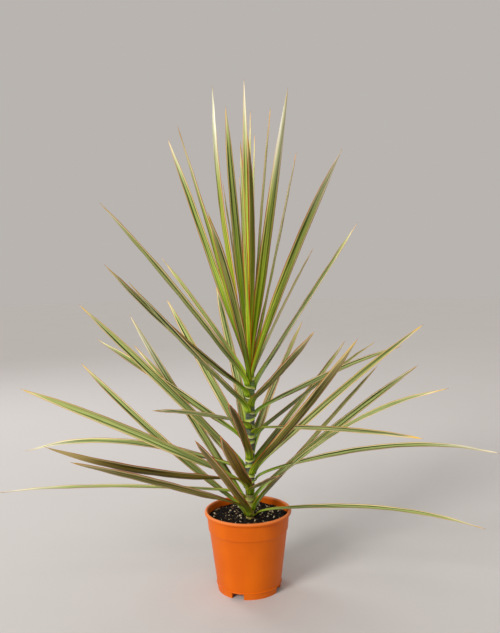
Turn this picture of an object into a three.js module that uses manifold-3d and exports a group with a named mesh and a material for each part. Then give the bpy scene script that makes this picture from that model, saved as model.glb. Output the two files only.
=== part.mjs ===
// A potted dragon tree: a cane with ringed leaf scars, long narrow leaves spiralling up it and
// fanning out into a crown, standing in potting soil in a thin moulded nursery pot.
// Millimetres, +Z up. The pot's axis is the Z axis and its foot rests on z = 0.
// Bearings are degrees round the Z axis from +X; the picture's side of the plant is -Y.
import * as THREE from "three";
import Module from "manifold-3d";

const wasm = await Module();
wasm.setup();

// ---- Driving sizes -------------------------------------------------------------------------

const GAP = 0.3; // air left between two pieces that touch

// Pot: an injection-moulded nursery pot, 12 cm across the rim.
const POT_HEIGHT = 110;
const RIM_RADIUS = 60; // outside of the rolled lip
const LIP_RADIUS = 2.1; // of the lip's rounded top and underside
const LIP_SKIRT = 1; // the straight stretch between those two rounds
const BAND_BOTTOM = 84; // height of the small step under the upper band
const BAND_STEP = 1.05; // how far the band stands proud of the wall below it
const BAND_FOOT_RADIUS = 55;
const FOOT_RADIUS = 43.4;
const FOOT_HEIGHT = 8.2; // the ring that lifts the floor off the table
const FOOT_BEAD = 0.7; // the bead where the foot ring meets the wall
const WALL = 1.4;
const NOTCH_WIDTH = 17;
const NOTCH_HEIGHT = 7.6;
const NOTCH_BEARINGS = [-111, -21, 69, 159];
const DRAIN_RADIUS = 6; // the hole in the middle of the floor
const POT_SIDES = 40;

// Soil: 13 mm under the rim at the cane, and banked up towards the wall.
const SOIL_TOP = 97;
const SOIL_BANK = 4.8; // how much higher it lies at SOIL_BANK_RADIUS than in the middle
const SOIL_BANK_RADIUS = 54;
const SOIL_RELIEF = 1.1;
const CRUMB_COUNT = 34;
const CRUMB_SIZE = [1.3, 2.6];

// Cane: 12 mm thick at the soil, a little thicker above, tapering to the growing tip.
const CANE_FOOT = [2.5, 0]; // where its axis meets the soil: it stands a little off centre
const CANE_LEAN = 0.0175; // towards +X, per millimetre of height
const CANE_BURIED = 50;
const CANE_RADIUS_SOIL = 5.6;
const CANE_RADIUS = 6.4;
const CANE_TOP = 284; // where the bare cane ends and the crown's core begins
const CORE_TIP = 348;
const CORE_TIP_RADIUS = 1.2;
const SCAR_FIRST = 103;
const SCAR_PITCH = 11;
const SCAR_PROUD = 0.5;
const CANE_SIDES = 16;

// Leaves: folded strips that clasp the cane, bend out over a short throat and run to a point.
const LEAF_THICKNESS = 0.8;
const LEAF_TIP_WIDTH = 1.0;
const LEAF_TAPER = 6; // how late a blade starts to narrow: the power of the share of its length
const LEAF_RINGS = 10;
const CLASP = 42; // degrees that a base reaches round the cane to either side
const CROWN_CLASP = 30; // the same round the crown's core
const THROAT = 8; // the length over which a base bends from the cane to the leaf's own rise
const OPENING = 80; // the length over which a blade widens from its base
const CROWN_OPENING = 130;
const FOLD_OUTER = 9; // degrees that each half of the outer blade is folded up

const deg = THREE.MathUtils.degToRad;

// ---- Helpers -------------------------------------------------------------------------------

// A geometry's triangles as a solid that can be joined or cut.
function solid(geometry) {
  const points = geometry.toNonIndexed().getAttribute("position").array;
  const made = new wasm.Mesh({
    numProp: 3,
    vertProperties: new Float32Array(points),
    triVerts: Uint32Array.from({ length: points.length / 3 }, (_, i) => i),
  });
  made.merge();
  return new wasm.Manifold(made);
}

function geometryOf(body) {
  const made = body.getMesh();
  const geometry = new THREE.BufferGeometry();
  geometry.setAttribute("position", new THREE.BufferAttribute(made.vertProperties, 3));
  geometry.setIndex(new THREE.BufferAttribute(made.triVerts, 1));
  return geometry;
}

// A [radius, height] profile spun round the Z axis.
function turned(profile, sides) {
  const points = profile.map(([radius, height]) => new THREE.Vector2(radius, height));
  return new THREE.LatheGeometry(points, sides).rotateX(Math.PI / 2);
}

// Points of an arc in a [radius, height] profile.
function arc(centre, radius, from, to, steps) {
  return Array.from({ length: steps + 1 }, (_, i) => {
    const angle = deg(from + ((to - from) * i) / steps);
    return [centre[0] + radius * Math.cos(angle), centre[1] + radius * Math.sin(angle)];
  });
}

// A repeatable stream of numbers from 0 to 1.
function seeded(seed) {
  let state = seed;
  return () => {
    state = (state * 1664525 + 1013904223) % 4294967296;
    return state / 4294967296;
  };
}

function piece(name, geometry, color, roughness, metalness = 0) {
  geometry.computeVertexNormals();
  const material = new THREE.MeshStandardMaterial({ color, roughness, metalness });
  material.name = name;
  const mesh = new THREE.Mesh(geometry, material);
  mesh.name = name;
  return mesh;
}

// ---- Pot -----------------------------------------------------------------------------------

// Radius of the pot's outside at a height: the lower wall, then the band that stands proud of it.
function wallRadius(height) {
  const bandTop = RIM_RADIUS - 2 * LIP_RADIUS + WALL;
  if (height >= BAND_BOTTOM) {
    const up = (height - BAND_BOTTOM) / (POT_HEIGHT - LIP_RADIUS - BAND_BOTTOM);
    return BAND_FOOT_RADIUS + (bandTop - BAND_FOOT_RADIUS) * up;
  }
  return FOOT_RADIUS + ((BAND_FOOT_RADIUS - BAND_STEP - FOOT_RADIUS) * height) / BAND_BOTTOM;
}

function potGeometry() {
  const floor = FOOT_HEIGHT + WALL;
  const lipTop = [RIM_RADIUS - LIP_RADIUS, POT_HEIGHT - LIP_RADIUS];
  const lipUnderside = [lipTop[0], lipTop[1] - LIP_SKIRT];
  const bandTop = POT_HEIGHT - 2 * LIP_RADIUS - LIP_SKIRT - 0.4;
  const profile = [
    [DRAIN_RADIUS, FOOT_HEIGHT],
    [FOOT_RADIUS - 3.6, FOOT_HEIGHT],
    [FOOT_RADIUS - 2.2, 0],
    [FOOT_RADIUS, 0],
    [wallRadius(FOOT_HEIGHT), FOOT_HEIGHT],
    [wallRadius(FOOT_HEIGHT) + FOOT_BEAD, FOOT_HEIGHT + 1],
    [wallRadius(FOOT_HEIGHT + 2.6), FOOT_HEIGHT + 2.6],
    [wallRadius(BAND_BOTTOM - 1.2), BAND_BOTTOM - 1.2],
    [wallRadius(BAND_BOTTOM), BAND_BOTTOM],
    [wallRadius(bandTop), bandTop],
    ...arc(lipUnderside, LIP_RADIUS, -80, 0, 3),
    ...arc(lipTop, LIP_RADIUS, 0, 180, 6),
    [wallRadius(bandTop) - WALL, bandTop],
    [wallRadius(BAND_BOTTOM) - WALL, BAND_BOTTOM + 0.6],
    [wallRadius(BAND_BOTTOM - 1.2) - WALL, BAND_BOTTOM - 1],
    [wallRadius(floor) - WALL, floor],
    [DRAIN_RADIUS, floor],
    [DRAIN_RADIUS, FOOT_HEIGHT],
  ];
  let pot = solid(turned(profile, POT_SIDES));
  for (const bearing of NOTCH_BEARINGS) {
    const notch = new THREE.BoxGeometry(20, NOTCH_WIDTH, 2 * NOTCH_HEIGHT);
    notch.translate(FOOT_RADIUS, 0, 0);
    notch.rotateZ(deg(bearing));
    pot = pot.subtract(solid(notch));
  }
  return geometryOf(pot);
}

// ---- Cane ----------------------------------------------------------------------------------

function caneAxis(height) {
  const x = CANE_FOOT[0] + (height - SOIL_TOP) * CANE_LEAN;
  return new THREE.Vector3(x, CANE_FOOT[1], height);
}

// Radius of the cane between its scars.
function caneRadius(height) {
  if (height < CANE_TOP) {
    const up = THREE.MathUtils.smoothstep(height, SOIL_TOP, SOIL_TOP + 60);
    return CANE_RADIUS_SOIL + (CANE_RADIUS - CANE_RADIUS_SOIL) * up;
  }
  const up = Math.min(1, (height - CANE_TOP) / (CORE_TIP - CANE_TOP));
  return CANE_RADIUS + (CORE_TIP_RADIUS - CANE_RADIUS) * up;
}

function caneGeometry() {
  const foot = SOIL_TOP - CANE_BURIED;
  const profile = [
    [0, foot],
    [CANE_RADIUS_SOIL - 0.8, foot],
    [CANE_RADIUS_SOIL, foot + 1.5],
  ];
  for (let scar = SCAR_FIRST; scar < CANE_TOP; scar += SCAR_PITCH) {
    profile.push([caneRadius(scar), scar - 1.6]);
    profile.push([caneRadius(scar) + SCAR_PROUD, scar]);
    profile.push([caneRadius(scar), scar + 1.6]);
  }
  profile.push([caneRadius(CANE_TOP), CANE_TOP]);
  profile.push([CORE_TIP_RADIUS, CORE_TIP]);
  profile.push([0, CORE_TIP + CORE_TIP_RADIUS]);
  const cane = turned(profile, CANE_SIDES);
  const point = new THREE.Vector3();
  const place = cane.getAttribute("position");
  for (let i = 0; i < place.count; i++) {
    point.fromBufferAttribute(place, i);
    const axis = caneAxis(point.z);
    place.setXYZ(i, point.x + axis.x, point.y + axis.y, point.z);
  }
  return geometryOf(solid(cane));
}

// ---- Soil ----------------------------------------------------------------------------------

// The lie of the soil's surface above or below SOIL_TOP: rippled, and banked up to the wall.
function soilRelief(x, y) {
  const ripple = Math.sin(x * 0.31 + 1.1) * Math.cos(y * 0.27) + 0.6 * Math.sin(x * 0.71 - y * 0.53);
  const bank = (SOIL_BANK * (x * x + y * y)) / SOIL_BANK_RADIUS ** 2;
  return (SOIL_RELIEF * ripple) / 1.6 + bank;
}

function soilGeometry() {
  const floor = FOOT_HEIGHT + WALL + GAP;
  const inside = (height) => wallRadius(height) - WALL - GAP;
  const profile = [
    [0, floor],
    [inside(floor) - 0.4, floor],
    [inside(BAND_BOTTOM - 1.2), BAND_BOTTOM - 0.8],
    [inside(BAND_BOTTOM), BAND_BOTTOM + 1.4],
    [inside(SOIL_TOP - 3), SOIL_TOP - 3],
    [inside(SOIL_TOP), SOIL_TOP - 1],
    [inside(SOIL_TOP) - 3, SOIL_TOP],
  ];
  for (let radius = 44; radius > 0; radius -= 8) profile.push([radius, SOIL_TOP]);
  profile.push([0, SOIL_TOP]);
  const bed = turned(profile, POT_SIDES);
  const place = bed.getAttribute("position");
  for (let i = 0; i < place.count; i++) {
    const up = place.getZ(i);
    if (up > SOIL_TOP - 2) place.setZ(i, up + soilRelief(place.getX(i), place.getY(i)));
  }
  let soil = solid(bed);

  // Crumbs and grains of perlite, sunk to half their height.
  const draw = seeded(41);
  for (let i = 0; i < CRUMB_COUNT; i++) {
    const away = 12 + 34 * Math.sqrt(draw());
    const round = draw() * 2 * Math.PI;
    const size = CRUMB_SIZE[0] + (CRUMB_SIZE[1] - CRUMB_SIZE[0]) * draw();
    const x = away * Math.cos(round);
    const y = away * Math.sin(round);
    const crumb = new THREE.OctahedronGeometry(size);
    crumb.scale(1, 0.8, 0.7);
    crumb.rotateZ(draw() * Math.PI);
    crumb.translate(x, y, SOIL_TOP + soilRelief(x, y));
    soil = soil.add(solid(crumb));
  }

  const hole = new THREE.CylinderGeometry(1, 1, 1, CANE_SIDES).rotateX(Math.PI / 2);
  const width = CANE_RADIUS_SOIL + SCAR_PROUD + GAP;
  const depth = CANE_BURIED + GAP;
  hole.scale(width, width, 1);
  const middle = caneAxis(SOIL_TOP - depth / 2);
  hole.scale(1, 1, depth + 20);
  hole.translate(middle.x, middle.y, SOIL_TOP - depth + (depth + 20) / 2);
  return geometryOf(soil.subtract(solid(hole)));
}

// ---- Leaves --------------------------------------------------------------------------------

// Each leaf, roughly from the lowest up: height of its base on the cane, the bearing it points to, its rise
// above level, how far it droops over its length (negative where it curves up), its length, its
// widest width, its sideways turn along the length, its twist about its own midrib, and its taper where
// that starts earlier than on most.
const LEAVES = [
  // Low on the cane.
  { base: 101, bearing: -101, rise: 31, droop: 3, length: 334, width: 12.5, turn: 2, twist: 0 },
  { base: 100, bearing: -18, rise: 1, droop: 25, length: 310, width: 11.5, turn: 0, twist: 10 },
  { base: 100, bearing: 159, rise: 37, droop: -8, length: 334, width: 12, turn: 0, twist: -35 },
  { base: 105, bearing: 43, rise: 30, droop: 0, length: 336, width: 10, turn: 0, twist: 0 },
  { base: 107, bearing: -127.5, rise: 24, droop: 2, length: 328, width: 12.5, turn: 0, twist: 40 },
  { base: 110, bearing: -37, rise: 34, droop: 31, length: 346, width: 13, turn: 0, twist: 30 },
  { base: 113, bearing: 148, rise: 51.5, droop: -4, length: 332, width: 13, turn: 0, twist: -20 },
  { base: 121, bearing: 25, rise: 29.5, droop: 5, length: 331, width: 13.5, turn: 0, twist: 25 },
  { base: 127, bearing: -178, rise: 1.5, droop: 11, length: 343, width: 10.5, turn: 0, twist: -10 },
  { base: 132, bearing: -84.5, rise: 20, droop: 0, length: 322, width: 11, turn: 0, twist: 0 },
  { base: 136, bearing: -95, rise: 26, droop: -4, length: 330, width: 15, turn: 0, twist: 0 },
  { base: 146, bearing: -128, rise: 19.5, droop: -12, length: 349, width: 13, turn: 0, twist: 45 },
  { base: 150, bearing: -1, rise: 4.5, droop: 31, length: 346, width: 12, turn: 0, twist: 20 },
  { base: 158, bearing: 168, rise: 2.3, droop: 34, length: 342, width: 11.5, turn: 0, twist: -30 },
  { base: 204, bearing: 48, rise: 18, droop: 4, length: 335, width: 10, turn: 0, twist: 0 },
  { base: 165, bearing: 166, rise: 42.5, droop: 1, length: 336, width: 14.5, turn: 0, twist: -30 },
  { base: 149, bearing: 130, rise: 28.5, droop: 0, length: 340, width: 10, turn: 0, twist: -15 },
  { base: 160, bearing: -64, rise: 38.5, droop: -6, length: 330, width: 13, turn: 0, twist: -15 },
  { base: 166, bearing: 57, rise: 25, droop: -4, length: 338, width: 11, turn: 0, twist: 0 },
  { base: 140, bearing: -176, rise: 25, droop: 5, length: 335, width: 14.5, turn: 0, twist: -45 },
  { base: 158, bearing: 19, rise: 35, droop: 7, length: 336, width: 13, turn: 0, twist: 20 },
  { base: 199, bearing: 155, rise: 28.3, droop: 4, length: 286, width: 13, turn: 0, twist: -25 },
  { base: 182, bearing: 78, rise: 16, droop: 10, length: 330, width: 13, turn: 0, twist: 0 },
  { base: 181, bearing: -93.5, rise: 23.5, droop: 6, length: 330, width: 10.5, turn: 0, twist: 0 },
  { base: 190, bearing: 120, rise: 36, droop: 0, length: 336, width: 12.5, turn: 0, twist: -15 },
  { base: 196, bearing: 71, rise: 27, droop: 4, length: 326, width: 10.5, turn: 0, twist: -15 },
  { base: 174, bearing: 97, rise: 26, droop: 8, length: 325, width: 12.5, turn: 0, twist: 0 },
  { base: 218, bearing: -50, rise: 7, droop: 7, length: 285, width: 11.5, turn: 0, twist: 20 },
  { base: 216, bearing: 101.5, rise: 35, droop: -2, length: 334, width: 12.5, turn: 0, twist: 0 },
  // The barer upper cane.
  { base: 224, bearing: -105.5, rise: 14.5, droop: 4, length: 336, width: 11.5, turn: 0, twist: -30 },
  { base: 238, bearing: 40, rise: 11, droop: 9, length: 336, width: 12.5, turn: 0, twist: 15 },
  { base: 246, bearing: -112.5, rise: 31.5, droop: -4, length: 347, width: 13, turn: 0, twist: -10 },
  { base: 254, bearing: -78.5, rise: 22, droop: -4, length: 330, width: 11.5, turn: 0, twist: 0 },
  { base: 268, bearing: -122, rise: 33, droop: -8, length: 326, width: 12.5, turn: 0, twist: 10 },
  { base: 275, bearing: 48, rise: 41.5, droop: 1, length: 356, width: 9.5, turn: 0, twist: 0 },
  { base: 283, bearing: -129, rise: 43, droop: 6, length: 338, width: 13, turn: 0, twist: 0 },
  // Crown, from its outer leaves to its heart.
  { base: 287, bearing: 123.5, rise: 33.5, droop: 4, length: 310, width: 9.5, turn: 0, twist: 0 },
  { base: 289, bearing: -96.5, rise: 38, droop: 8, length: 335, width: 10, turn: -4, twist: 0 },
  { base: 291, bearing: 67, rise: 32, droop: 4, length: 338, width: 10, turn: 0, twist: -35 },
  { base: 296, bearing: -63.5, rise: 50, droop: 12, length: 352, width: 12, turn: 0, twist: -15 },
  { base: 298, bearing: 102, rise: 57, droop: 4, length: 335, width: 10, turn: 0, twist: 62 },
  { base: 302, bearing: -92, rise: 60, droop: 4, length: 324, width: 10, turn: 0, twist: -58 },
  { base: 303, bearing: 58, rise: 66, droop: -3, length: 342, width: 10, turn: 0, twist: -36 },
  { base: 305, bearing: 151, rise: 69, droop: 2, length: 346, width: 12, turn: 0, twist: -28 },
  { base: 308, bearing: -114, rise: 58, droop: 2, length: 344, width: 13, turn: 0, twist: -15, taper: 2 },
  { base: 308, bearing: 95, rise: 66, droop: 4, length: 300, width: 10, turn: 0, twist: 60 },
  { base: 312, bearing: -74.5, rise: 62, droop: 2, length: 371, width: 13.5, turn: 0, twist: 0, taper: 4 },
  { base: 313, bearing: 83, rise: 73, droop: 4, length: 343, width: 10.5, turn: 0, twist: -60 },
  { base: 318, bearing: -82, rise: 67, droop: 4, length: 304, width: 11, turn: -16, twist: 40 },
  { base: 321, bearing: 122, rise: 82, droop: -4, length: 352, width: 14, turn: 0, twist: 0 },
  { base: 320, bearing: 49, rise: 82, droop: 2, length: 348, width: 11, turn: 0, twist: -30 },
  { base: 327, bearing: 170, rise: 83.5, droop: -12, length: 364, width: 13, turn: 0, twist: 45 },
  { base: 329, bearing: 77, rise: 86, droop: 0, length: 330, width: 10.5, turn: 0, twist: -58 },
  { base: 335, bearing: -97, rise: 88, droop: 0, length: 356, width: 14, turn: 0, twist: 0, taper: 2.4 },
];

const inCrown = (leaf) => leaf.base > CANE_TOP;
const clasp = (leaf) => (inCrown(leaf) ? CROWN_CLASP : CLASP);

// Distance from the cane's axis to the inside of a leaf's base.
const baseRadius = (leaf) => caneRadius(leaf.base) + (inCrown(leaf) ? 0 : SCAR_PROUD) + GAP;

// Where the leaf's midrib is at a run from its base, and its side, face and forward directions.
function midrib(leaf, run) {
  const steps = Math.max(1, Math.ceil(run / 4));
  const start = Math.max(leaf.rise, Math.min(84, leaf.rise + 55));
  const reach = baseRadius(leaf) / Math.cos(deg(clasp(leaf) / 2));
  const at = caneAxis(leaf.base);
  at.x += reach * Math.cos(deg(leaf.bearing));
  at.y += reach * Math.sin(deg(leaf.bearing));
  const heading = (s) => {
    const along = s / leaf.length;
    const bend = (start - leaf.rise) * Math.exp(-s / THROAT);
    const rise = deg(leaf.rise + bend + leaf.droop * (0.4 - along ** 1.5));
    const bearing = deg(leaf.bearing + leaf.turn * along ** 1.3);
    return { rise, bearing };
  };
  for (let i = 0; i < steps; i++) {
    const { rise, bearing } = heading(((i + 0.5) * run) / steps);
    at.x += (Math.cos(rise) * Math.cos(bearing) * run) / steps;
    at.y += (Math.cos(rise) * Math.sin(bearing) * run) / steps;
    at.z += (Math.sin(rise) * run) / steps;
  }
  const { rise, bearing } = heading(run);
  const flat = Math.cos(rise);
  const forward = new THREE.Vector3(flat * Math.cos(bearing), flat * Math.sin(bearing), Math.sin(rise));
  const twist = deg(leaf.twist) * THREE.MathUtils.smoothstep(run, 10, 0.35 * leaf.length);
  const side = new THREE.Vector3(-Math.sin(bearing), Math.cos(bearing), 0).applyAxisAngle(forward, twist);
  const face = new THREE.Vector3().crossVectors(forward, side);
  return { at, side, face, forward };
}

// The blade is a box folded along its midrib: it starts as wide as its clasp, widens over its first
// stretch and narrows to a point, and the fold of the clasp eases out along it.
function leafGeometry(leaf) {
  const blade = new THREE.BoxGeometry(1, 1, 1, 2, 1, LEAF_RINGS);
  const place = blade.getAttribute("position");
  const claspWidth = 4 * baseRadius(leaf) * Math.tan(deg(clasp(leaf) / 2));
  for (let i = 0; i < place.count; i++) {
    const across = 2 * place.getX(i);
    const through = place.getY(i) - 0.5;
    const along = (place.getZ(i) + 0.5) ** 1.6;
    const run = along * leaf.length;
    const { at, side, face } = midrib(leaf, run);
    const opening = THREE.MathUtils.smoothstep(run, 0, inCrown(leaf) ? CROWN_OPENING : OPENING);
    const full = claspWidth + (leaf.width - claspWidth) * opening;
    const taper = leaf.taper ?? LEAF_TAPER;
    const width = LEAF_TIP_WIDTH + (full - LEAF_TIP_WIDTH) * (1 - along ** taper);
    const fold = deg(FOLD_OUTER + (clasp(leaf) / 2 - FOLD_OUTER) * (1 - opening));
    at.addScaledVector(side, (across * width * Math.cos(fold)) / 2);
    at.addScaledVector(face, (Math.abs(across) * width * Math.sin(fold)) / 2);
    at.addScaledVector(face, through * LEAF_THICKNESS);
    place.setXYZ(i, at.x, at.y, at.z);
  }
  return blade;
}

// ---- The whole plant -----------------------------------------------------------------------

const plant = new THREE.Group();
plant.add(piece("pot", potGeometry(), 0xd9660a, 0.45));
plant.add(piece("soil", soilGeometry(), 0x1d1714, 0.95));
plant.add(piece("cane", caneGeometry(), 0x55663a, 0.6));
LEAVES.forEach((leaf, i) => {
  const name = "leaf_" + String(i + 1).padStart(2, "0");
  plant.add(piece(name, leafGeometry(leaf), 0x6b7d46, 0.5));
});

export default plant;
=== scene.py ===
import math
import random

import bmesh
import bpy
from mathutils import Matrix, Vector, noise


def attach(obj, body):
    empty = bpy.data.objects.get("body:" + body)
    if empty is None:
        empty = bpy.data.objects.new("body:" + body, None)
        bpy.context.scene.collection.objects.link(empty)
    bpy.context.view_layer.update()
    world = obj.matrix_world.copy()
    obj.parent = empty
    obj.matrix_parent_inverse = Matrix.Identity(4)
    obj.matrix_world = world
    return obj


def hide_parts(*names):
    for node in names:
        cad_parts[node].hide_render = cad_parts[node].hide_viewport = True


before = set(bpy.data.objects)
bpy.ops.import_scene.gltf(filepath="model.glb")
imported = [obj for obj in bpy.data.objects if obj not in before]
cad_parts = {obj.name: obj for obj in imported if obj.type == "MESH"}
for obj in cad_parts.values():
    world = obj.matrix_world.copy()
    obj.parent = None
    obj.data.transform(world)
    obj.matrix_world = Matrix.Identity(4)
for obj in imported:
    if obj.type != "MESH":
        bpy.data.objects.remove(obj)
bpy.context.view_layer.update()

# ---- Camera --------------------------------------------------------------------------------
# A 40 mm lens, 0.955 m in front of the pot and a little right of its axis, at two thirds of the
# plant's height, tipped down 4 degrees and rolled by 1 degree, as the photograph was taken.

LENS_MM, SENSOR_MM = 40, 36
CAMERA_AT = (0.0074, -0.955, 0.444)
PITCH_DOWN, ROLL = math.radians(4.0), math.radians(1.0)


def placed(name, data):
    """A new object with this data, put into the scene."""
    thing = bpy.data.objects.new(name, data)
    bpy.context.collection.objects.link(thing)
    return thing


lens = bpy.data.cameras.new("camera")
lens.lens, lens.sensor_width = LENS_MM, SENSOR_MM
camera = placed("camera", lens)
bpy.context.scene.camera = camera
ahead = Vector((0, math.cos(PITCH_DOWN), -math.sin(PITCH_DOWN)))
upward = Vector((0, math.sin(PITCH_DOWN), math.cos(PITCH_DOWN)))
right = Vector((1, 0, 0)) * math.cos(ROLL) - upward * math.sin(ROLL)
upward = upward * math.cos(ROLL) + Vector((1, 0, 0)) * math.sin(ROLL)
aim = Matrix((right, upward, -ahead)).transposed().to_4x4()
camera.matrix_world = Matrix.Translation(CAMERA_AT) @ aim

# ---- Pot -----------------------------------------------------------------------------------
# A nursery pot moulded in one piece from orange polypropylene: a rolled lip, a band that stands a
# millimetre proud of the tapered wall, and a foot ring with four notches that let water run out.

LIP_TOP, LIP_OUTSIDE, LIP_ROUND = 0.110, 0.060, 0.0021
LIP_SKIRT, SKIRT_UNDERCUT = 0.001, 0.0004
BAND_BOTTOM, BAND_FOOT, BAND_STEP = 0.084, 0.055, 0.00105
STEP_LOW, STEP_HIGH = 0.0826, 0.0835
BEAD_HEIGHT, BEAD_ROUND = 0.0093, 0.0009
FOOT_OUTSIDE, FLOOR_UNDER, POT_WALL, DRAIN = 0.0434, 0.0082, 0.0014, 0.006
FOOT_RING_TOP, FOOT_RING_BOTTOM = 0.0036, 0.0022
NOTCH_TOP, NOTCH_ACROSS = 0.0076, 0.017
NOTCH_BEARINGS = (-111, -21, 69, 159)
NOTCH_STEPS, PLAIN_STEPS = 10, 35
SHARP_FROM = math.radians(32)


class Wire:
    """A socket of a node tree. Sums written with it add Math nodes, and make() adds any other."""

    def __init__(self, tree, socket=None):
        self.tree, self.socket = tree, socket

    def make(self, kind, settings=None, sockets=None, out=0):
        """Adds a node with its settings, then its sockets' values or links. Returns one output."""
        node = self.tree.nodes.new(kind)
        for name, value in (settings or {}).items():
            setattr(node, name, value)
        for name, value in (sockets or {}).items():
            if isinstance(value, Wire):
                self.tree.links.new(value.socket, node.inputs[name])
            else:
                node.inputs[name].default_value = value
        return Wire(self.tree, node.outputs[out])

    def math(self, operation, *values):
        return self.make("ShaderNodeMath", {"operation": operation}, dict(enumerate(values)))

    def __add__(self, other):
        return self.math("ADD", self, other)

    def __radd__(self, other):
        return self.math("ADD", other, self)

    def __sub__(self, other):
        return self.math("SUBTRACT", self, other)

    def __rsub__(self, other):
        return self.math("SUBTRACT", other, self)

    def __mul__(self, other):
        return self.math("MULTIPLY", self, other)

    def __rmul__(self, other):
        return self.math("MULTIPLY", other, self)

    def __truediv__(self, other):
        return self.math("DIVIDE", self, other)

    def __rtruediv__(self, other):
        return self.math("DIVIDE", other, self)

    def __pow__(self, other):
        return self.math("POWER", self, other)

    def ease(self, low, high, start=0.0, end=1.0):
        """Runs smoothly from start to end while this goes from low to high."""
        sockets = {"Value": self, "From Min": low, "From Max": high, "To Min": start, "To Max": end}
        return self.make("ShaderNodeMapRange", {"interpolation_type": "SMOOTHSTEP"}, sockets)

    def blend(self, below, above):
        """A colour that goes from below to above as this goes from 0 to 1."""
        ends = [value if isinstance(value, Wire) else (*value, 1) for value in (below, above)]
        settings = {"data_type": "RGBA", "clamp_factor": True}
        return self.make("ShaderNodeMix", settings, {0: self, 6: ends[0], 7: ends[1]}, 2)

    def vector(self, operation, *values):
        return self.make("ShaderNodeVectorMath", {"operation": operation}, dict(enumerate(values)))

    def scaled(self, size):
        return self.make("ShaderNodeVectorMath", {"operation": "SCALE"}, {0: self, "Scale": size})

    def length(self):
        return self.make("ShaderNodeVectorMath", {"operation": "LENGTH"}, {0: self}, 1)

    def parts(self):
        """The three parts of this vector."""
        split = self.make("ShaderNodeSeparateXYZ", sockets={0: self}).socket.node
        return [Wire(self.tree, part) for part in split.outputs]

    def on_piece(self):
        """The position in the piece's own Object coordinates."""
        return self.make("ShaderNodeTexCoord", out=3)

    def stretched(self, scale):
        """This position with its axes scaled, so that a pattern there is drawn out along one."""
        return self.make("ShaderNodeMapping", sockets={0: self, 3: scale})

    def mottled(self, scale, detail, **more):
        """Noise of about 0 to 1, read at this position."""
        return self.make("ShaderNodeTexNoise",
                         sockets={0: self, "Scale": scale, "Detail": detail, **more})


def tint(red, green, blue):
    """A display colour of 0 to 255 as the shader's linear one."""
    parts = [value / 255 for value in (red, green, blue)]
    return tuple(((p + 0.055) / 1.055) ** 2.4 if p > 0.04 else p / 12.92 for p in parts)


def finish_named(name, **constants):
    """A new material with its sockets' constants set, and the wire to build its patterns from."""
    material = bpy.data.materials.new(name)
    material.use_nodes = True
    shader = material.node_tree.nodes["Principled BSDF"]
    for key, value in constants.items():
        shader.inputs[key.replace("_", " ")].default_value = value
    return material, shader, Wire(material.node_tree)


def plug(wire, socket):
    wire.tree.links.new(wire.socket, socket)


def emboss(shader, height, strength, distance):
    """Lets a height that is given over the surface catch the light."""
    bump = height.make("ShaderNodeBump", sockets={"Strength": strength, "Distance": distance,
                                                  "Height": height})
    plug(bump, shader.inputs["Normal"])


def moulded(name, shape):
    """A smooth piece made of a closed mesh in hand, with its faces turned outwards."""
    bmesh.ops.recalc_face_normals(shape, faces=shape.faces)
    mesh = bpy.data.meshes.new(name)
    shape.to_mesh(mesh)
    shape.free()
    mesh.shade_smooth()
    return placed(name, mesh)


def pot_wall(height):
    """The outside radius at a height: the tapered wall, or the band above its step."""
    if height >= BAND_BOTTOM:
        up = (height - BAND_BOTTOM) / (LIP_TOP - LIP_ROUND - BAND_BOTTOM)
        top = LIP_OUTSIDE - 2 * LIP_ROUND + POT_WALL
        return BAND_FOOT + (top - BAND_FOOT) * up
    return FOOT_OUTSIDE + (BAND_FOOT - BAND_STEP - FOOT_OUTSIDE) * height / BAND_BOTTOM


def bow(centre, radius, start, end, steps):
    """Points along an arc between two angles in degrees."""
    for i in range(steps + 1):
        angle = math.radians(start + (end - start) * i / steps)
        yield centre[0] + radius * math.cos(angle), centre[1] + radius * math.sin(angle)


# The section from the drain hole out under the floor, round the foot, up the outside and back in.
floor_top = FLOOR_UNDER + POT_WALL
band_top = LIP_TOP - 2 * LIP_ROUND - LIP_SKIRT - SKIRT_UNDERCUT
lip_middle = (LIP_OUTSIDE - LIP_ROUND, LIP_TOP - LIP_ROUND)
foot_in = (FOOT_OUTSIDE - FOOT_RING_TOP, FLOOR_UNDER)
foot_low = (FOOT_OUTSIDE - FOOT_RING_BOTTOM, 0.0)
notch_in = foot_in[0] + (foot_low[0] - foot_in[0]) * (FLOOR_UNDER - NOTCH_TOP) / FLOOR_UNDER
section = [(DRAIN, FLOOR_UNDER), (0.5 * (DRAIN + foot_in[0]), FLOOR_UNDER), foot_in]
section += [(notch_in, NOTCH_TOP), foot_low, (FOOT_OUTSIDE, 0.0), (pot_wall(NOTCH_TOP), NOTCH_TOP)]
FOOT_POINTS = (3, 4, 5, 6)
section += bow((pot_wall(BEAD_HEIGHT), BEAD_HEIGHT), BEAD_ROUND, -90, 90, 8)
section += [(pot_wall(z), z) for z in (0.0112, 0.02, 0.035, 0.05, 0.065, 0.0815)]
section += [(pot_wall(STEP_LOW) + 0.0002, STEP_LOW), (pot_wall(BAND_BOTTOM) - 0.0004, STEP_HIGH)]
section += [(pot_wall(z), z) for z in (BAND_BOTTOM, 0.0845, 0.09, 0.098, band_top)]
section += bow((lip_middle[0], lip_middle[1] - LIP_SKIRT), LIP_ROUND, -80, 0, 8)
section += bow(lip_middle, LIP_ROUND, 0, 180, 14)
section += [(pot_wall(z) - POT_WALL, z) for z in (band_top, 0.098, 0.0848)]
section += [(pot_wall(STEP_LOW) - POT_WALL, 0.083), (pot_wall(0.05) - POT_WALL, 0.05)]
section += [(pot_wall(floor_top + 0.002) - POT_WALL, floor_top + 0.002)]
section += [(pot_wall(floor_top) - POT_WALL - 0.002, floor_top), (DRAIN, floor_top)]

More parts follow.
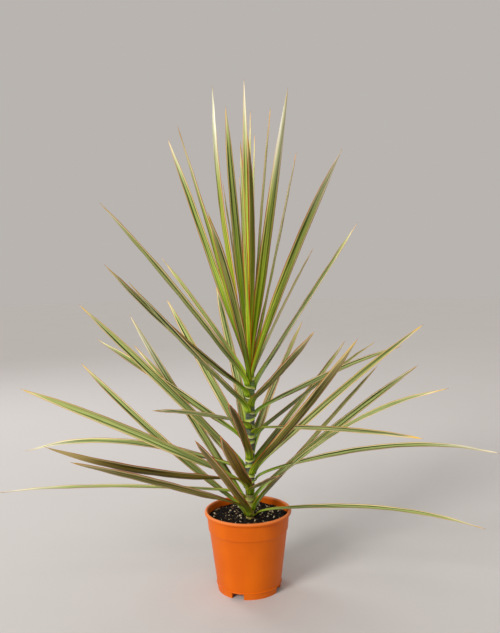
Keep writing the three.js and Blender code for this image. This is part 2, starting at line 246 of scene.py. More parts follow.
# Bearings round the pot, in even steps over each notch and between two notches.
half_notch = math.degrees(math.asin(NOTCH_ACROSS / 2 / FOOT_OUTSIDE))
gap = 90 - 2 * half_notch
stations = []
for bearing in NOTCH_BEARINGS:
    stations += [(bearing - half_notch + 2 * half_notch * i / NOTCH_STEPS, True)
                 for i in range(NOTCH_STEPS)]
    stations += [(bearing + half_notch + gap * i / PLAIN_STEPS, False) for i in range(PLAIN_STEPS)]

# The section is spun round the bearings. Over a notch the foot's underside is drawn up to its top.
shape = bmesh.new()
rings = []
for bearing, _ in stations:
    c, s = math.cos(math.radians(bearing)), math.sin(math.radians(bearing))
    rings.append([shape.verts.new((r * c, r * s, z)) for r, z in section])
inner, low_in, low_out, outer = FOOT_POINTS
for i, (_, notched) in enumerate(stations):
    here, there = rings[i], rings[(i + 1) % len(rings)]
    for j in range(len(section)):
        k = (j + 1) % len(section)
        if notched and j in (inner, low_out):
            continue
        if notched and j == low_in:
            j, k = inner, outer
        shape.faces.new((here[j], there[j], there[k], here[k]))
    if notched and not stations[i - 1][1]:
        shape.faces.new([here[j] for j in FOOT_POINTS])
    if notched and not stations[(i + 1) % len(stations)][1]:
        shape.faces.new([there[j] for j in reversed(FOOT_POINTS)])
loose = [v for v in shape.verts if not v.link_faces]
bmesh.ops.delete(shape, geom=loose, context="VERTS")
pot = moulded("pot_moulding", shape)
pot.data.set_sharp_from_angle(angle=SHARP_FROM)

# The plastic: satin, a little uneven where the melt flowed up from the gate, scuffed at the foot.
ORANGE = tint(208, 93, 0), tint(219, 103, 0)
SCUFFED, LIP_RUB_AND_HIGHLIGHT = tint(214, 132, 70), tint(244, 156, 98)

orange, shader, wire = finish_named("orange_plastic", Specular_IOR_Level=0.18)
at = wire.on_piece()
height = at.parts()[2]
flow = at.stretched((1, 1, 0.25)).mottled(38, 3)
cloud = at.mottled(14, 2)
grit = at.mottled(900, 2)
scuff = at.mottled(260, 4)
body = (flow * 0.5 + cloud * 0.5).ease(0.35, 0.65).blend(*ORANGE)
worn = height.ease(0.0, 0.014, 1.0, 0.0) * scuff.ease(0.5, 0.68)
body = (worn * 0.3).blend(body, SCUFFED)
# A painted highlight along the lip's top, over a slightly lighter rubbed rim.
lip = height.ease(LIP_TOP - 0.0034, LIP_TOP - 0.0010)
body = (lip * 0.4).blend(body, LIP_RUB_AND_HIGHLIGHT)
plug(body, shader.inputs["Base Color"])
plug(0.36 + cloud * 0.10 + grit * 0.06 + worn * 0.2, shader.inputs["Roughness"])
emboss(shader, grit * 0.4 + flow * 0.6, 0.12, 0.0004)
pot.data.materials.append(orange)

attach(pot, "root")
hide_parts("pot")

# ---- Potting mix ---------------------------------------------------------------------------
# Damp peat and bark fines, 13 mm under the rim at the cane and banked up towards the wall. Crumbs,
# chips of bark and pale grains of perlite lie on it, half sunk in.

SOIL_TOP, SOIL_FOOT, SOIL_GAP, EDGE_DROP = 0.097, 0.060, 0.0004, 0.0014
BANK_MM, BANK_RADIUS_MM, RIPPLE_MM, LUMP_MM = 4.8, 54, 1.1, 1.3
BED_AROUND, BED_ACROSS = 144, 40
STREWN_INSIDE, STREWN_OUTSIDE = 0.0085, 0.0525


def soil_height(x, y):
    """The bed's surface in metres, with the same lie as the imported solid's and finer lumps."""
    a, b = x * 1000, y * 1000
    ripple = math.sin(a * 0.31 + 1.1) * math.cos(b * 0.27) + 0.6 * math.sin(a * 0.71 - b * 0.53)
    bank = BANK_MM * (a * a + b * b) / BANK_RADIUS_MM ** 2
    lumps = LUMP_MM * noise.fractal(Vector((a * 0.22, b * 0.22, 3.7)), 1.0, 2.0, 4)
    return SOIL_TOP + (RIPPLE_MM * ripple / 1.6 + bank + lumps) / 1000


shape = bmesh.new()
bed_radius = pot_wall(SOIL_TOP) - POT_WALL - SOIL_GAP
foot_radius = pot_wall(SOIL_FOOT) - POT_WALL - SOIL_GAP
rings = []
for j in range(1, BED_ACROSS + 1):
    radius = bed_radius * (j / BED_ACROSS) ** 0.9
    drop = EDGE_DROP * (j / BED_ACROSS) ** 12
    ring = []
    for i in range(BED_AROUND):
        angle = 2 * math.pi * i / BED_AROUND
        x, y = radius * math.cos(angle), radius * math.sin(angle)
        ring.append(shape.verts.new((x, y, soil_height(x, y) - drop)))
    rings.append(ring)
rings.append([shape.verts.new((v.co.x * foot_radius / bed_radius, v.co.y * foot_radius / bed_radius,
                               SOIL_FOOT)) for v in rings[-1]])
middle = shape.verts.new((0, 0, soil_height(0, 0)))
under = shape.verts.new((0, 0, SOIL_FOOT))
for i in range(BED_AROUND):
    k = (i + 1) % BED_AROUND
    shape.faces.new((middle, rings[0][i], rings[0][k]))
    shape.faces.new((under, rings[-1][k], rings[-1][i]))
    for here, there in zip(rings, rings[1:]):
        shape.faces.new((here[i], there[i], there[k], here[k]))
soil = moulded("soil_bed", shape)

PEAT = tint(8, 6, 4), tint(34, 23, 16)
DRY_PATCH = tint(66, 46, 31)

peat, shader, wire = finish_named("damp_peat", Specular_IOR_Level=0.2)
at = wire.on_piece()
fines = at.mottled(520, 6, Roughness=0.7)
patch = at.mottled(90, 3)
cell = wire.make("ShaderNodeTexVoronoi", {"feature": "F1"}, {"Vector": at, "Scale": 620})
dark = fines.ease(0.3, 0.75).blend(*PEAT)
dark = (patch.ease(0.55, 0.75) * 0.4).blend(dark, DRY_PATCH)
plug(dark, shader.inputs["Base Color"])
plug(0.78 + fines * 0.2, shader.inputs["Roughness"])
emboss(shader, fines * 0.7 + cell * 0.5, 0.9, 0.0012)
soil.data.materials.append(peat)
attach(soil, "root")
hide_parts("soil")

# Each chip and grain has its own tone, stored on it where it is strewn.
BARK = tint(36, 23, 15), tint(150, 112, 72)
PERLITE = tint(150, 132, 96), tint(240, 228, 196)

bark, shader, wire = finish_named("bark_chip")
tone = wire.make("ShaderNodeAttribute", {"attribute_name": "tone"}, out=2)
grain = wire.on_piece().mottled(900, 3)
plug((grain * 0.4 + tone * 0.6).blend(*BARK), shader.inputs["Base Color"])
plug(0.7 + grain * 0.2, shader.inputs["Roughness"])

perlite, shader, wire = finish_named("perlite_grain")
tone = wire.make("ShaderNodeAttribute", {"attribute_name": "tone"}, out=2)
pores = wire.on_piece().mottled(1500, 3)
plug((pores * 0.35 + tone * 0.65).blend(*PERLITE), shader.inputs["Base Color"])
plug(0.75 + pores * 0.2, shader.inputs["Roughness"])
emboss(shader, pores, 0.5, 0.0003)


def node_group(name, inputs):
    """A new Geometry Nodes tree with named inputs. Returns it, a wire on it and a wire for each."""
    tree = bpy.data.node_groups.new(name, "GeometryNodeTree")
    tree.interface.new_socket("Geometry", in_out="INPUT", socket_type="NodeSocketGeometry")
    for label, kind in inputs.items():
        tree.interface.new_socket(label, in_out="INPUT", socket_type="NodeSocket" + kind)
    tree.interface.new_socket("Geometry", in_out="OUTPUT", socket_type="NodeSocketGeometry")
    start = tree.nodes.new("NodeGroupInput")
    wires = {socket.name: Wire(tree, socket) for socket in start.outputs if socket.name}
    return tree, Wire(tree), wires


def marked(mesh, name, value, kind="FLOAT"):
    """The mesh with a value stored at each of its points, for its finish to read."""
    return mesh.make("GeometryNodeStoreNamedAttribute", {"data_type": kind, "domain": "POINT"},
                     {"Geometry": mesh, "Name": name, "Value": value})


def close_group(tree, result, material):
    """Ends a tree in Realize Instances and Set Material."""
    real = result.make("GeometryNodeRealizeInstances", sockets={0: result})
    dressed = real.make("GeometryNodeSetMaterial", sockets={"Geometry": real, "Material": material})
    end = tree.nodes.new("NodeGroupOutput")
    tree.links.new(dressed.socket, end.inputs[0])


def grow(name, source, tree, **values):
    """Runs a tree on a source with its inputs set. Returns the result as a plain mesh object."""
    modifier = source.modifiers.new(tree.name, "NODES")
    modifier.node_group = tree
    names = {item.name.replace(" ", "_"): item.identifier
             for item in tree.interface.items_tree if item.in_out == "INPUT"}
    for label, value in values.items():
        modifier[names[label]] = value
    made = source.evaluated_get(bpy.context.evaluated_depsgraph_get())
    result = bpy.data.meshes.new_from_object(made)
    source.modifiers.remove(modifier)
    result.name = name
    return placed(name, result)


# Grains strewn over the bed's open top, each a small lump turned at random.
strew, wire, given = node_group("strewn_grains", {
    "Per Square Metre": "Float", "Smallest": "Float", "Largest": "Float", "Flatness": "Float",
    "Inside": "Float", "Outside": "Float", "Seed": "Int", "Facets": "Int", "Material": "Material"})
place = wire.make("GeometryNodeInputPosition")
away = wire.vector("MULTIPLY", place, (1, 1, 0)).length()
facing = wire.make("GeometryNodeInputNormal")
up = facing.parts()[2]
open_top = wire.math("GREATER_THAN", up, 0.6) * wire.math("GREATER_THAN", away, given["Inside"])
open_top = open_top * wire.math("LESS_THAN", away, given["Outside"])
spots = wire.make("GeometryNodeDistributePointsOnFaces", {"distribute_method": "RANDOM"},
                  {"Mesh": given["Geometry"], "Selection": open_top,
                   "Density": given["Per Square Metre"], "Seed": given["Seed"]})
draw = wire.make("FunctionNodeRandomValue", {"data_type": "FLOAT"},
                 {"Min": 0.0, "Max": 1.0, "Seed": given["Seed"] + 7}, 1)
spots = marked(spots, "tone", draw)
lump = wire.make("GeometryNodeMeshIcoSphere",
                 sockets={"Radius": 1.0, "Subdivisions": given["Facets"]})
jag = wire.make("ShaderNodeTexNoise", sockets={"Scale": 1.7, "Detail": 1})
jag = facing.scaled((jag - 0.5) * 0.9)
lump = wire.make("GeometryNodeSetPosition", sockets={"Geometry": lump, "Offset": jag})
spin = wire.make("FunctionNodeRandomValue", {"data_type": "FLOAT_VECTOR"},
                 {"Min": (-0.5, -0.5, 0.0), "Max": (0.5, 0.5, 6.28), "Seed": given["Seed"] + 11})
shrink = wire.make("FunctionNodeRandomValue", {"data_type": "FLOAT"},
                   {2: 0.0, 3: 1.0, "Seed": given["Seed"] + 13}, 1)
size = given["Smallest"] + (given["Largest"] - given["Smallest"]) * shrink ** 2.2
squat = wire.make("ShaderNodeCombineXYZ",
                  sockets={0: size, 1: size * 0.72, 2: size * given["Flatness"]})
grains = wire.make("GeometryNodeInstanceOnPoints",
                   sockets={"Points": spots, "Instance": lump, "Rotation": spin, "Scale": squat})
close_group(strew, grains, given["Material"])

GRAINS = {
    "soil_crumbs": dict(Per_Square_Metre=150000.0, Smallest=0.0006, Largest=0.0026, Flatness=0.7,
                        Seed=3, Facets=1, Material=peat),
    "soil_bark_chips": dict(Per_Square_Metre=22000.0, Smallest=0.0007, Largest=0.0029,
                            Flatness=0.32, Seed=8, Facets=1, Material=bark),
    "soil_perlite": dict(Per_Square_Metre=15000.0, Smallest=0.0007, Largest=0.0023, Flatness=0.8,
                         Seed=21, Facets=2, Material=perlite),
}
for name, sizes in GRAINS.items():
    grains = grow(name, soil, strew, Inside=STREWN_INSIDE, Outside=STREWN_OUTSIDE, **sizes)
    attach(grains, "root")

# ---- Cane ----------------------------------------------------------------------------------
# The living stem, 12 mm thick and leaning a degree. Every 11 mm a fallen leaf's scar rings it: a
# tilted cream line with a lime-green crescent above, on slate-green bark that is tan low down.

CANE_LOW, CANE_HIGH, CROWN_LOW = 0.080, 0.3485, 0.284
CANE_AT_SOIL, CANE_RADIUS, CORE_TIP = 0.0056, 0.0064, 0.0012
CANE_FOOT_X, CANE_LEAN = 0.0025, 0.0175
SCAR_FIRST, SCAR_PITCH, SCAR_TILT, SCAR_PROUD = 0.103, 0.011, 0.0021, 0.0007
SCAR_TURN, SCAR_LINE = 2.4, 0.0006
CANE_SIDES, CANE_STEPS = 48, 620

# A unit cylinder, drawn out along the leaning axis and swollen at every scar.
ringed, wire, given = node_group("ringed_cane", {
    "Sides": "Int", "Steps": "Int", "Low": "Float", "High": "Float", "Crown Low": "Float",
    "Soil Radius": "Float", "Cane Radius": "Float", "Tip Radius": "Float", "Scar First": "Float",
    "Scar Pitch": "Float", "Scar Tilt": "Float", "Scar Proud": "Float", "Material": "Material"})
barrel = wire.make("GeometryNodeMeshCylinder", {"fill_type": "TRIANGLE_FAN"},
                   {"Vertices": given["Sides"], "Side Segments": given["Steps"], "Fill Segments": 3,
                    "Radius": 1.0, "Depth": 1.0})
place = wire.make("GeometryNodeInputPosition")
x, y, z = place.parts()
height = given["Low"] + (given["High"] - given["Low"]) * (z + 0.5)
angle = wire.math("ARCTAN2", y, x)
count = (height - given["Scar First"]) / given["Scar Pitch"]
ring = wire.math("ROUND", count)
lean = wire.math("COSINE", angle - ring * SCAR_TURN)
off = (count - ring) * given["Scar Pitch"] + lean * given["Scar Tilt"]
swell = height.ease(SOIL_TOP, SOIL_TOP + 0.06)
thick = given["Soil Radius"] + (given["Cane Radius"] - given["Soil Radius"]) * swell
taper = height.ease(given["Crown Low"], given["High"])
thick = thick + (given["Tip Radius"] - given["Cane Radius"]) * taper
line = wire.math("EXPONENT", 0.0 - (off / SCAR_LINE) ** 2)
shelf = off.ease(-0.0002, 0.0003) * off.ease(0.0008, 0.0034, 1.0, 0.0)
lump = place.mottled(3.2, 2)
grow_out = (line * 0.65 + shelf * 0.55 + (lump - 0.5) * 0.6) * given["Scar Proud"]
reach = wire.vector("MULTIPLY", place, (1, 1, 0)).scaled(thick + grow_out)
centre = wire.make("ShaderNodeCombineXYZ",
                   sockets={0: CANE_FOOT_X + (height - SOIL_TOP) * CANE_LEAN, 2: height})
spot = wire.vector("ADD", reach, centre)
marks = wire.make("ShaderNodeCombineXYZ", sockets={0: off, 1: height})
barrel = marked(barrel, "scar", marks, "FLOAT_VECTOR")
barrel = wire.make("GeometryNodeSetPosition", sockets={"Geometry": barrel, "Position": spot})
barrel = wire.make("GeometryNodeSetShadeSmooth", sockets={0: barrel})
close_group(ringed, barrel, given["Material"])

# Bark, with each scar's marks set by how far up or down from its line a point lies.
SLATE = tint(34, 46, 40), tint(92, 104, 78)
TAN = tint(104, 92, 38), tint(190, 176, 92)
YOUNG_BARK = tint(96, 128, 40)
CRESCENT = tint(120, 150, 34), tint(188, 206, 78)
SCAR_CREAM = tint(206, 190, 128), tint(240, 230, 190)
SCAR_SHADOW = tint(40, 30, 20)

skin, shader, wire = finish_named("cane_bark", IOR=1.45)
at = wire.on_piece()
scar = wire.make("ShaderNodeAttribute", {"attribute_name": "scar"}, out=1)
off, height, _ = scar.parts()
fibre = at.stretched((1, 1, 0.22)).mottled(850, 4)
blotch = at.mottled(160, 3)
weather = (fibre * 0.6 + blotch * 0.4).ease(0.3, 0.7)
low = (height + (blotch - 0.5) * 0.02).ease(0.112, 0.150, 1.0, 0.0)
ground = low.blend(weather.blend(*SLATE), weather.blend(*TAN))
young = height.ease(0.24, 0.30)
ground = (young * 0.8).blend(ground, YOUNG_BARK)
wander = off + (blotch - 0.5) * 0.0012
crescent = wander.ease(-0.0001, 0.0004) * wander.ease(0.0012, 0.0042, 1.0, 0.0)
ground = (crescent * (1 - low * 0.45)).blend(ground, blotch.ease(0.3, 0.7).blend(*CRESCENT))
cream = wander.ease(-0.0016, -0.0007) * wander.ease(0.0, 0.0006, 1.0, 0.0)
ground = (cream * 0.92).blend(ground, fibre.ease(0.3, 0.7).blend(*SCAR_CREAM))
# A painted shadow: a dark band just under each scar's cream line, as if cast by the scar's shelf.
under = wander.ease(-0.0030, -0.0018) * wander.ease(-0.0015, -0.0011, 1.0, 0.0)
ground = (under * 0.5).blend(ground, SCAR_SHADOW)
plug(ground, shader.inputs["Base Color"])
plug(0.42 + fibre * 0.25, shader.inputs["Roughness"])
emboss(shader, fibre * 0.7 + blotch * 0.5, 0.5, 0.0005)

seed = placed("cane_start", bpy.data.meshes.new("cane_start"))
cane = grow("cane_stem", seed, ringed, Sides=CANE_SIDES, Steps=CANE_STEPS, Low=CANE_LOW,
            High=CANE_HIGH, Crown_Low=CROWN_LOW, Soil_Radius=CANE_AT_SOIL, Cane_Radius=CANE_RADIUS,
            Tip_Radius=CORE_TIP, Scar_First=SCAR_FIRST, Scar_Pitch=SCAR_PITCH, Scar_Tilt=SCAR_TILT,
            Scar_Proud=SCAR_PROUD, Material=skin)
bpy.data.objects.remove(seed)
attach(cane, "root")
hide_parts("cane")

# ---- Leaves --------------------------------------------------------------------------------
# Each is a leathery blade that clasps the cane, channelled along its middle and finely ribbed by
# parallel veins, green with red to cream margins, drying yellow and brown at its point.

LEAF_COUNT = 54
BLADE_AROUND, BLADE_STEPS, RAIL_POINTS = 20, 72, 8
RIB_THICKNESS, EDGE_THICKNESS = 0.00085, 0.00035
POINT_FROM, WAVER, WAVER_SEED = 0.97, 0.0016, 7.3
CROWN_FADE = 0.018
WELD, TIP_RING = 2e-6, 0.0016

# How much painted shade, warmed as by reflected light, browns a blade's back, mostly on the low
# ones that point towards the camera's side; how much painted shade dulls both its faces; and how
# pale its outer part is, partly drying and partly painted sheen, where that isn't usual.
SHADED_BACKS = {1: 0.8, 5: 0.6, 11: 1.0, 12: 0.85, 18: 0.65, 24: 0.95, 30: 0.3, 33: 0.45, 34: 0.15,
                38: 0.15, 49: 0.6}
SHADED_BLADES = {4: 0.5, 10: 0.2, 15: 0.35, 19: 0.35, 21: 0.4, 26: 0.6, 28: 0.3, 39: 0.8, 41: 0.3,
          43: 0.75, 51: 0.65, 52: 0.35}
USUAL_PALE = 0.28
PALE_ENDS_AND_SHEEN = {1: 0.0, 3: 0.15, 4: 0.1, 5: 0.5, 7: 1.0, 8: 0.3, 9: 0.8, 10: 0.1, 11: 0.0, 12: 0.9,
             13: 0.85, 14: 0.75, 15: 0.2, 18: 0.8, 19: 0.2, 20: 0.1, 24: 0.0, 26: 0.1, 33: 0.5,
             39: 0.05, 40: 0.7, 43: 0.1, 44: 0.6, 45: 0.7, 47: 1.2, 49: 0.15, 51: 0.1, 52: 1.2,
             54: 0.9}

# A blade is a flat sleeve drawn along three rails: its left margin, midrib and right margin.
blade, wire, given = node_group("leaf_blade", {
    "Around": "Int", "Steps": "Int", "Rib Thickness": "Float", "Edge Thickness": "Float",
    "Length": "Float", "Point": "Float", "Waver": "Float", "Waver Seed": "Float", "Tone": "Float",
    "Crown": "Float", "Bronze": "Float", "Dull": "Float", "Pale": "Float", "Material": "Material"})
rails = wire.make("GeometryNodeCurveSplineType", {"spline_type": "CATMULL_ROM"},
                  {"Curve": given["Geometry"]})
rails = wire.make("GeometryNodeSetSplineResolution",
                  sockets={"Geometry": rails, "Resolution": RAIL_POINTS})
sleeve = wire.make("GeometryNodeMeshCylinder", {"fill_type": "NGON"},
                   {"Vertices": given["Around"], "Side Segments": given["Steps"], "Radius": 1.0,
                    "Depth": 1.0})
across, side, z = wire.make("GeometryNodeInputPosition").parts()
along = z + 0.5
left, rib, right = (wire.make("GeometryNodeSampleCurve",
                              {"mode": "FACTOR", "use_all_curves": False},
                              {"Curves": rails, "Factor": along, "Curve Index": index}, 1)
                    for index in range(3))
heading = Wire(blade, rib.socket.node.outputs["Tangent"])
span = wire.vector("SUBTRACT", left, right)
sag = wire.vector("SUBTRACT", wire.vector("ADD", left, right).scaled(0.5), rib)
face = wire.vector("NORMALIZE", wire.vector("CROSS_PRODUCT", heading, span))
narrow = 1 - along.ease(given["Point"], 1.0) * 0.8
step = wire.vector("ADD", span.scaled(across * narrow * 0.5), sag.scaled(across * across * narrow))
ripple = wire.make("ShaderNodeCombineXYZ",
                   sockets={0: along * 9, 1: given["Waver Seed"] + across * 0.7})
swing = wire.make("ShaderNodeTexNoise", {"noise_dimensions": "2D"},
                  {"Vector": ripple, "Scale": 1.0, "Detail": 1})
lift = (swing - 0.5) * given["Waver"] * along.ease(0.04, 0.3) * narrow
thinned = (given["Edge Thickness"] - given["Rib Thickness"]) * across * across
lift = lift + side * (given["Rib Thickness"] + thinned) * 0.5 * narrow
spot = wire.vector("ADD", wire.vector("ADD", rib, step), face.scaled(lift))
run = along * given["Length"]
first = wire.make("ShaderNodeCombineXYZ", sockets={0: across, 1: run, 2: side})
second = wire.make("ShaderNodeCombineXYZ", sockets={0: span.length() * narrow,
                                                    1: given["Length"] - run, 2: given["Tone"]})
sleeve = marked(sleeve, "blade", first, "FLOAT_VECTOR")
sleeve = marked(sleeve, "leaf", second, "FLOAT_VECTOR")
for name in ("Crown", "Bronze", "Dull", "Pale"):
    sleeve = marked(sleeve, name.lower(), given[name])
sleeve = wire.make("GeometryNodeSetPosition", sockets={"Geometry": sleeve, "Position": spot})
sleeve = wire.make("GeometryNodeSetShadeSmooth", sockets={0: sleeve})
close_group(blade, sleeve, given["Material"])

# Where there are two colours, they are those of the dark and the light stripes between the veins.
OLD_GREEN = tint(54, 68, 26), tint(172, 178, 104)
FRESH_GREEN = tint(104, 116, 8), tint(204, 220, 50)
FRESH_TOP_SHEEN = tint(84, 102, 60), tint(198, 206, 160)
LIME_BASE = tint(116, 160, 10), tint(184, 212, 46)
BACK_SHADE = tint(74, 56, 0), tint(122, 98, 2)
SHADED_OLIVE = tint(64, 50, 14), tint(104, 84, 36)
PALE_TIP_AND_SHEEN = tint(216, 214, 176), tint(250, 246, 226)
MOTTLE, YELLOW_TIP = tint(146, 146, 84), tint(226, 190, 50)
BURNT_TIP, DEAD_TIP, SHADED_BACK_RIM = tint(236, 192, 60), tint(150, 84, 30), tint(208, 74, 8)
RED_RIM, DRY_RIM = tint(196, 62, 4), tint(244, 156, 54)
# The midrib and the inner margin, on an old blade and on a fresh one.
MIDRIB = tint(168, 188, 112), tint(190, 220, 48)
CREAM = tint(236, 226, 170), tint(216, 208, 84)

green, shader, wire = finish_named("leaf_skin", Specular_IOR_Level=0.11)
first = wire.make("ShaderNodeAttribute", {"attribute_name": "blade"}, out=1)
second = wire.make("ShaderNodeAttribute", {"attribute_name": "leaf"}, out=1)
crown, bronze, dull, pale_end = (wire.make("ShaderNodeAttribute", {"attribute_name": name}, out=2)
                                 for name in ("crown", "bronze", "dull", "pale"))
across, run, side = first.parts()
wide, to_tip, tone = second.parts()
off_rib = wire.math("ABSOLUTE", across)
edge = (1 - off_rib) * wide * 0.5
upper = side.ease(-0.15, 0.15)
other_tone = wire.math("FRACT", tone * 7.3)
lopsided = (across * wire.math("SIGN", other_tone - 0.5)).ease(-0.1, 0.1)

# Veins and stripes run lengthways, in metres across and along the blade.
lengthways = wire.make("ShaderNodeCombineXYZ",
                       sockets={0: across * wide * 500, 1: run * 9, 2: tone * 31})
veins = lengthways.mottled(2.3, 4, Roughness=0.6)
bands = lengthways.mottled(0.62, 0)
mottle = wire.on_piece().mottled(60, 3)
lines = wire.math("SINE", across * wide * 1200 + bands * 12)
stripe = (veins * 0.4 + bands * 0.6 + lines * 0.06).ease(0.42, 0.58)

# The blade's body, from old green to the crown's fresh green, with its midrib and lime base.
young = crown * run.ease(0.06, 0.26, 1.0, 0.3)
flank = off_rib.ease(0.35, 0.75)
old = (stripe * (1 - flank * 0.35)).blend(*OLD_GREEN)
fresh = (stripe * (1 - flank * 0.45)).blend(*FRESH_GREEN)
# Painted sheen: the upper face of a crown blade is a cooler, paler green.
fresh_top_sheen = (stripe * (1 - flank * 0.3)).blend(*FRESH_TOP_SHEEN)
body = young.blend(old, (upper * 0.7).blend(fresh, fresh_top_sheen))
rib_line = off_rib.ease(0.03, 0.34 + young * 0.2, 1.0, 0.0)
body = (rib_line * (0.4 + young * 0.3 + stripe * 0.3)).blend(body, young.blend(*MIDRIB))
lime = run.ease(0.004, 0.060 + crown * 0.14, 1.0, 0.0) * (1 - crown * flank * 0.5)
body = (lime * 0.85).blend(body, stripe.blend(*LIME_BASE))
# Painted shade on the back: every blade's back is browned a little, and more where backshade is
# set, except at its lime base.
back = (0.08 + bronze * 0.88) * (1 - upper) * (1 - lime * 0.8)
body = back.blend(body, stripe.blend(*BACK_SHADE))
body = (mottle.ease(0.55, 0.8) * 0.2 * (1 - bronze)).blend(body, MOTTLE)
# Painted shade on both faces of the blades listed as shaded: the body darkens to olive-brown and
# loses its cream line.
body = (dull * 0.75).blend(body, stripe.blend(*SHADED_OLIVE))

# The margin: a red rim, and inside it a cream line that is stronger along one side.
ragged = edge + (veins - 0.5) * 0.0003
cream = ragged.ease(0.0006, 0.0010) * ragged.ease(0.0015, 0.0022, 1.0, 0.0)
cream = cream * (0.35 + lopsided * 0.65) * (1 - dull) * run.ease(0.05, 0.12)
# The cream line fades under the painted back shade.
cream = cream * (1 - bronze * (1 - upper) * 0.5)
body = cream.blend(body, young.blend(*CREAM))
rim = ragged.ease(0.0005, 0.0010, 1.0, 0.0) * (1 - lime * (0.6 - crown * 0.5))
dried = (tone * 0.5 + upper * 0.2 + run * 1.2 - young * 0.6).ease(0.35, 0.95)
# On blades with painted back shade the margin is drawn towards a deep orange-red.
rim_colour = (bronze * 0.8).blend(dried.blend(RED_RIM, DRY_RIM), SHADED_BACK_RIM)
body = (rim * (0.55 + young * 0.4 + bronze * 0.3)).blend(body, rim_colour)

# The end: pale for a while, partly drying and partly painted sheen, then burnt yellow, then a dead
# brown point.
reach = to_tip + (bands - 0.5) * 0.025
pale = reach.ease(0.012, 0.045 + pale_end * 0.085, 1.0, 0.0)
pale = pale * (0.55 + stripe * 0.25 + lopsided * 0.2)
# Under the painted back shade the pale end is yellow.
tip_colour = (bronze * (1 - upper) * 0.8).blend(stripe.blend(*PALE_TIP_AND_SHEEN), YELLOW_TIP)
body = (pale * pale_end).blend(body, tip_colour)
burnt = reach.ease(-0.002, 0.010 + tone * tone * 0.016, 1.0, 0.0)
body = (burnt * (0.9 - pale_end * 0.4)).blend(body, BURNT_TIP)
dead = (to_tip + (veins - 0.5) * 0.003).ease(0.001, 0.005, 1.0, 0.0)
body = (dead * 0.75).blend(body, DEAD_TIP)
plug(body, shader.inputs["Base Color"])
plug(0.34 + veins * 0.12 + (1 - upper) * 0.10, shader.inputs["Roughness"])
emboss(shader, veins, 0.4, 0.0003)


def blade_rails(node):
    """The left margin, midrib and right margin of a packed leaf, each from its base to its tip.

    Its welded mesh is a ladder of rings of six corners, two at each margin and two at the midrib.
    They are read off one after another by walking the edges from the tip's own six.
    """
    shell = bmesh.new()
    shell.from_mesh(node.data)
    bmesh.ops.remove_doubles(shell, verts=shell.verts, dist=WELD)
    corners = list(shell.verts)
    far = max(corners, key=lambda v: (v.co - corners[0].co).length)
    other = max(corners, key=lambda v: (v.co - far.co).length)
    ends = [[v for v in corners if (v.co - end.co).length < TIP_RING] for end in (far, other)]
    ring = next(group for group in ends if len(group) == 6)
    seen, found = set(ring), [ring]
    while len(seen) < len(corners):
        ring = [e.other_vert(v) for v in ring for e in v.link_edges if e.other_vert(v) not in seen]
        ring = list(dict.fromkeys(ring))
        seen.update(ring)
        found.append(ring)
    found.reverse()
    middles = [sum((v.co for v in ring), Vector()) / len(ring) for ring in found]
    lines, before = [], None
    for i, ring in enumerate(found):
        forward = (middles[min(i + 1, len(found) - 1)] - middles[max(i - 1, 0)]).normalized()
        pairs = [(a, b) for a in ring for b in ring]
        a, b = max(pairs, key=lambda pair: (pair[0].co - pair[1].co).length)
        sideways = a.co - b.co
        if before is not None and sideways.dot(before) < 0:
            sideways.negate()
        before = sideways.normalized()
        order = sorted(ring, key=lambda v: v.co.dot(before))
        points = [(order[j].co + order[j + 1].co) / 2 for j in (4, 2, 0)]
        lines.append((points, forward))
    shell.free()
    fold = sum(((left + right) / 2 - rib).dot(forward.cross(left - right))
               for (left, rib, right), forward in lines)
    order = (0, 1, 2) if fold > 0 else (2, 1, 0)
    return [[points[j] for points, _ in lines] for j in order]


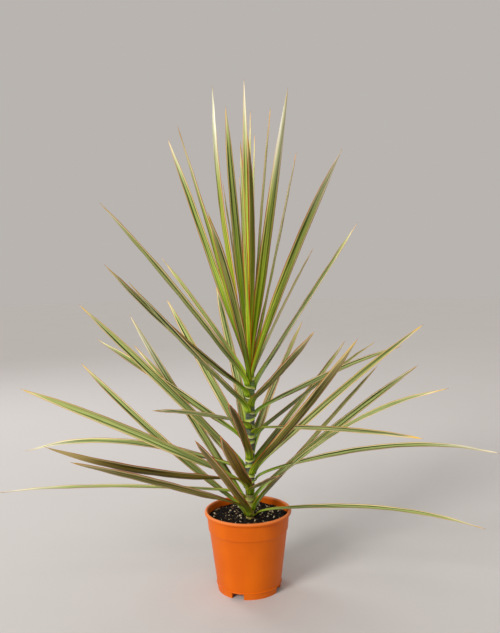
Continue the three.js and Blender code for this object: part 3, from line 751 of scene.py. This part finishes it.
draw = random.Random(17)
for number in range(1, LEAF_COUNT + 1):
    node = f"leaf_{number:02d}"
    lines = blade_rails(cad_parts[node])
    rails = bpy.data.curves.new("rails", "CURVE")
    rails.dimensions = "3D"
    for line in lines:
        spline = rails.splines.new("POLY")
        spline.points.add(len(line) - 1)
        for point, spot in zip(spline.points, line):
            point.co = (*spot, 1)
    source = placed("rails", rails)
    length = sum((b - a).length for a, b in zip(lines[1], lines[1][1:]))
    fresh_share = min(1.0, max(0.0, (lines[1][0].z - CROWN_LOW) / CROWN_FADE))
    leaf = grow(f"blade_{number:02d}", source, blade, Around=BLADE_AROUND, Steps=BLADE_STEPS,
                Rib_Thickness=RIB_THICKNESS, Edge_Thickness=EDGE_THICKNESS, Length=length,
                Point=POINT_FROM, Waver=WAVER, Waver_Seed=number * WAVER_SEED, Tone=draw.random(),
                Crown=fresh_share, Bronze=SHADED_BACKS.get(number, 0.0),
                Dull=SHADED_BLADES.get(number, 0.0), Pale=PALE_ENDS_AND_SHEEN.get(number, USUAL_PALE),
                Material=green)
    bpy.data.objects.remove(source)
    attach(leaf, "root")
    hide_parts(node)

# ---- Studio --------------------------------------------------------------------------------
# A plain pale floor in an even pale room. The soft key light comes from the upper left in front,
# with a weak one overhead and another from behind on the left.

FLOOR_RADIUS, ROOM_LIGHT = 9, 0.60
KEY_POWER, KEY_SPREAD, KEY_COLOUR = 2.5, math.radians(20), (1.0, 0.98, 0.94)
KEY_HEADING = (1.3, 1.5, -1.05)
FLOOR_GREY = tint(195, 192, 191), tint(199, 196, 195)
ROOM_GREY = tint(232, 226, 220)

bpy.context.scene.view_settings.view_transform = "Standard"
bpy.ops.mesh.primitive_circle_add(vertices=96, radius=FLOOR_RADIUS, fill_type="NGON")
floor = bpy.context.object
floor.name = "floor"
plain, shader, wire = finish_named("pale_floor", Roughness=0.8)
plug(wire.on_piece().mottled(3, 2).blend(*FLOOR_GREY), shader.inputs["Base Color"])
floor.data.materials.append(plain)

room = bpy.data.worlds.new("room")
room.use_nodes = True
room.node_tree.nodes["Background"].inputs[0].default_value = (*ROOM_GREY, 1)
room.node_tree.nodes["Background"].inputs[1].default_value = ROOM_LIGHT
bpy.context.scene.world = room


def turned(light, heading):
    """Points a light along a heading."""
    light.rotation_euler = Vector(heading).to_track_quat("-Z", "Y").to_euler()


def soft_light(name, place, target, size, power, colour):
    """A round soft box at a place, aimed at a target."""
    lamp = bpy.data.lights.new(name, "AREA")
    lamp.shape = "DISK"
    lamp.size, lamp.energy, lamp.color = size, power, colour
    light = placed(name, lamp)
    light.location = place
    turned(light, Vector(target) - Vector(place))


sun = bpy.data.lights.new("key_light", "SUN")
sun.energy, sun.angle, sun.color = KEY_POWER, KEY_SPREAD, KEY_COLOUR
turned(placed("key_light", sun), KEY_HEADING)
soft_light("top_light", (-0.15, -0.9, 1.9), (0, 0, 0.2), 0.7, 6, (1.0, 0.98, 0.95))
soft_light("rim_light", (-1.2, 1.3, 1.5), (0, 0, 0.35), 0.9, 12, (0.97, 0.99, 1.0))
